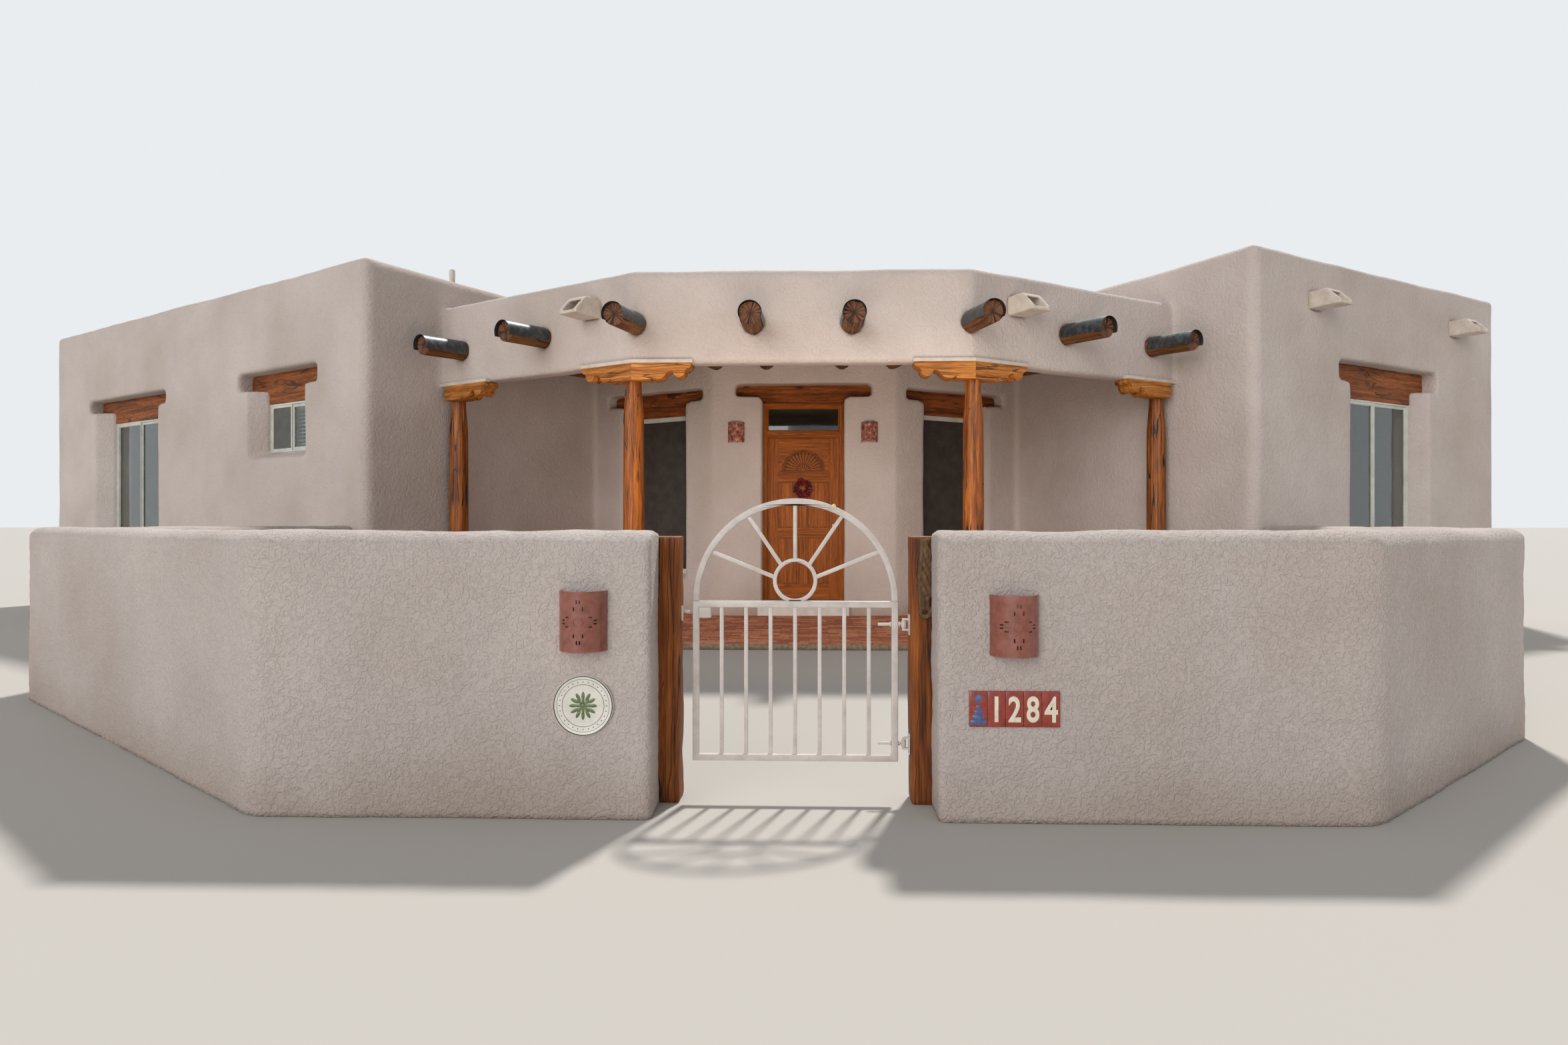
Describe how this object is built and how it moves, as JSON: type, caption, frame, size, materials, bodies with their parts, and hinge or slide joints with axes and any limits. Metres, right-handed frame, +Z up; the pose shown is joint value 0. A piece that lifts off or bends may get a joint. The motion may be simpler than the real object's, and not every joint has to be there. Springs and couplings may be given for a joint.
{
  "type": "adobe house",
  "caption": "Single-storey adobe house with a faceted log porch, carved corbels, panelled front door and a walled front court with an arched steel gate.",
  "frame": {"origin": "ground below the middle of the porch's front face, on the underside of the porch's floor", "axes": "+Z up, +X to the right along the front as seen from the gate, +Y from the gate into the house"},
  "size_m": [20.0717, 14.6598, 4.41],
  "materials": {
    "stucco": "matt",
    "roofing": "matt",
    "floor_slab": "matt",
    "brick": "matt",
    "log_timber": "satin",
    "carved_timber": "satin",
    "lintel_timber": "matt",
    "door_timber": "satin",
    "cap_metal": "satin",
    "pipe": "matt",
    "window_paint": "satin",
    "glazing": "polished",
    "white_paint": "matt",
    "handle_brass": "polished",
    "hinge_steel": "satin",
    "gate_paint": "gloss",
    "terracotta": "matt",
    "glazed_plaque": "gloss",
    "glazed_tile": "gloss"
  },
  "bodies": {
    "house": {"left_front_wall": "stucco", "right_front_wall": "stucco", "left_inner_wall": "stucco", "right_inner_wall": "stucco", "left_porch_wall": "stucco", "right_porch_wall": "stucco", "door_wall_left": "stucco", "door_wall_right": "stucco", "door_wall_head": "stucco", "left_end_wall": "stucco", "right_end_wall": "stucco", "rear_wall": "stucco", "left_roof": "roofing", "centre_roof": "roofing", "right_roof": "roofing", "house_floor": "floor_slab", "porch_floor": "brick", "porch_roof": "roofing", "left_porch_front": "stucco", "middle_porch_front": "stucco", "right_porch_front": "stucco", "roof_logs": "log_timber", "log_caps": "cap_metal", "posts": "log_timber", "corbels": "carved_timber", "roof_spouts": "stucco", "vent_pipe": "pipe", "front_lintels": "lintel_timber", "rear_lintels": "lintel_timber", "front_window_frames": "window_paint", "rear_window_frames": "window_paint", "front_glass": "glazing", "rear_glass": "glazing", "door_frame": "door_timber", "door_step": "white_paint", "door_hinges": "hinge_steel", "transom_glass": "glazing", "left_court_wall": "stucco", "right_court_wall": "stucco", "gate_posts": "log_timber", "gate_hinges": "gate_paint", "wall_lamps": "terracotta", "plaque": "glazed_plaque", "number_tiles": "glazed_tile"},
    "front_door": {"door_leaf": "door_timber", "door_handle": "handle_brass"},
    "gate": {"gate": "gate_paint"}
  },
  "joints": [
    {"name": "front_door_hinge", "type": "hinge", "parent": "house", "child": "front_door", "pos_m": [-0.4705, 2.795, 0], "axis": [0, 0, 1], "range_deg": [0, 100]},
    {"name": "gate_hinge", "type": "hinge", "parent": "house", "child": "gate", "pos_m": [0.477, -4.47, 0], "axis": [0, 0, -1], "range_deg": [0, 90]}
  ]
}
